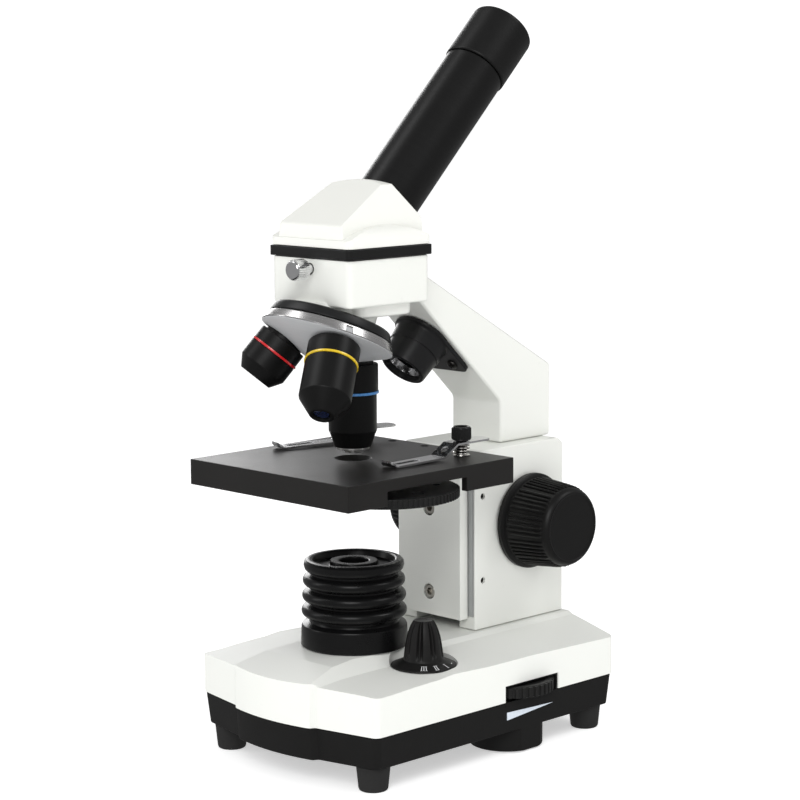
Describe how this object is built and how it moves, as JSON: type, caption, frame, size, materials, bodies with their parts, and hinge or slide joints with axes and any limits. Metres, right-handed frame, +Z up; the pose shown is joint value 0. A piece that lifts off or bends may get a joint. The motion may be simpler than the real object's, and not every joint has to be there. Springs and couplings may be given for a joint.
{
  "type": "microscope",
  "caption": "Monocular compound microscope with an inclined eyepiece tube, a revolving nosepiece, a rack-focused square stage, lamps below and above it, and a battery base.",
  "frame": {"origin": "on the table, under the middle of the bounding box", "axes": "+Z up along the optical axis; the stage side faces -Y, the arm stands at +Y, and the dimmer wheel and lamp selector are at +X"},
  "size_m": [0.1058, 0.1494, 0.2948],
  "materials": {
    "white_shell": "satin white moulded plastic",
    "white_casting": "semi-gloss white enamel on a casting",
    "black_plastic": "matt black moulded plastic",
    "black_paint": "satin black enamel",
    "stage_paint": "semi-gloss black enamel on metal",
    "grey_metal": "grey anodised, chrome rim band",
    "chrome": "bright chrome plate",
    "steel": "turned and brushed",
    "brass": "machined",
    "rubber": "matt black rubber",
    "glass": "polished optical glass",
    "board": "green solder mask",
    "led": "white ceramic carrier with a yellow phosphor dome",
    "cell": "plastic sleeve"
  },
  "bodies": {
    "stand": {"base_cover": "white_shell", "base_pan": "black_plastic", "foot_front_left": "rubber", "foot_front_right": "rubber", "foot_rear_left": "rubber", "foot_rear_right": "rubber", "battery_box": "black_plastic", "battery_cell_1": "cell", "battery_cell_2": "cell", "battery_cell_3": "cell", "circuit_board": "board", "selector_switch": "steel", "dimmer_potentiometer": "steel", "lamp_housing": "black_plastic", "lamp_lens": "glass", "lamp_led": "led", "focus_block": "white_casting", "arm": "white_casting", "shaft_bush_left": "brass", "shaft_bush_right": "brass", "upper_lamp_housing": "black_plastic", "upper_lamp_led": "led", "upper_lamp_lens": "glass", "upper_lamp_screw_left": "steel", "upper_lamp_screw_right": "steel", "nosepiece_seat": "black_paint", "turret_screw": "chrome", "detent_spring": "steel"},
    "battery_lid": {"battery_lid": "black_plastic"},
    "dimmer": {"dimmer_wheel": "black_plastic"},
    "selector": {"selector_knob": "black_plastic"},
    "stage": {"stage_bracket": "white_casting", "stage_slide": "steel", "bracket_screw_lower": "chrome", "bracket_screw_upper": "chrome", "focus_rack": "brass", "stage_plate": "stage_paint", "diaphragm_screw": "chrome"},
    "focus": {"focus_shaft": "steel", "focus_knob_left": "black_plastic", "focus_knob_right": "black_plastic"},
    "diaphragm": {"diaphragm_wheel": "black_plastic"},
    "clip_post_left": {"clip_screw_left": "black_plastic", "clip_spring_left": "steel"},
    "clip_left": {"stage_clip_left": "chrome"},
    "clip_post_right": {"clip_screw_right": "black_plastic", "clip_spring_right": "steel"},
    "clip_right": {"stage_clip_right": "chrome"},
    "turret": {"turret": "grey_metal", "objective_long": "black_paint", "objective_short": "black_paint", "objective_medium": "black_paint"},
    "objective_tip": {"objective_spring_tip": "chrome"},
    "head": {"head_rim": "black_paint", "head_hood": "white_shell", "prism": "glass", "eyepiece_tube": "black_paint"},
    "eyepiece": {"eyepiece": "black_plastic", "eye_lens": "glass"},
    "head_lock": {"head_lock_screw": "chrome"}
  },
  "joints": [
    {"name": "stage_focus", "type": "slide", "parent": "stand", "child": "stage", "axis": [0, 0, 1], "range_m": [-0.0042, 0.0018]},
    {"name": "focus_knob", "type": "hinge", "parent": "stand", "child": "focus", "pos_m": [-0.0027, 0.05135, 0.086], "axis": [1, 0, 0], "range_deg": [-18, 41]},
    {"name": "diaphragm_turn", "type": "hinge", "parent": "stage", "child": "diaphragm", "pos_m": [0.0173, -0.02965, 0.1084], "axis": [0, 0, 1], "continuous": true},
    {"name": "clip_swing_left", "type": "hinge", "parent": "stage", "child": "clip_post_left", "pos_m": [-0.0302, 0.00515, 0.1242], "axis": [0, 0, 1], "range_deg": [-26, 29]},
    {"name": "clip_lift_left", "type": "hinge", "parent": "clip_post_left", "child": "clip_left", "pos_m": [-0.03117, 0.00127, 0.125], "axis": [-0.9703, 0.2419, 0], "range_deg": [0, 8], "stiffness_Nm_per_rad": 0.08, "springref_deg": -8.59, "deforming": ["clip_spring_left"]},
    {"name": "clip_swing_right", "type": "hinge", "parent": "stage", "child": "clip_post_right", "pos_m": [0.0248, 0.00515, 0.1242], "axis": [0, 0, 1], "range_deg": [-15, 40]},
    {"name": "clip_lift_right", "type": "hinge", "parent": "clip_post_right", "child": "clip_right", "pos_m": [0.0248, 0.00115, 0.125], "axis": [-1, 0, 0], "range_deg": [0, 8], "stiffness_Nm_per_rad": 0.08, "springref_deg": -8.59, "deforming": ["clip_spring_right"]},
    {"name": "turret_turn", "type": "hinge", "parent": "stand", "child": "turret", "pos_m": [-0.0027, -0.04105, 0.1673], "axis": [0, -0.3907, -0.9205], "continuous": true},
    {"name": "objective_tip_spring", "type": "slide", "parent": "turret", "child": "objective_tip", "axis": [0, 0, 1], "range_m": [0, 0.003], "stiffness_N_per_m": 400, "springref_m": -0.001},
    {"name": "head_turn", "type": "hinge", "parent": "stand", "child": "head", "pos_m": [-0.0027, -0.02765, 0.199], "axis": [0, 0, 1], "continuous": true},
    {"name": "eyepiece_draw", "type": "slide", "parent": "head", "child": "eyepiece", "axis": [0, 0.7071, 0.7071], "range_m": [0, 0.02]},
    {"name": "head_lock_turn", "type": "hinge", "parent": "stand", "child": "head_lock", "pos_m": [-0.0027, -0.05565, 0.1949], "axis": [0, -1, 0], "range_deg": [0, 180]},
    {"name": "dimmer_turn", "type": "hinge", "parent": "stand", "child": "dimmer", "pos_m": [0.0354, 0.02205, 0.026], "axis": [0, 0, 1], "range_deg": [0, 270]},
    {"name": "selector_turn", "type": "hinge", "parent": "stand", "child": "selector", "pos_m": [0.0296, -0.02135, 0.045], "axis": [0, 0, 1], "range_deg": [0, 135]},
    {"name": "battery_lid_slide", "type": "slide", "parent": "stand", "child": "battery_lid", "axis": [-1, 0, 0], "range_m": [0, 0.03]}
  ],
  "couplings": [
    {"joint": "focus_knob", "follows": "stage_focus", "rad_per_m": -166.67}
  ]
}
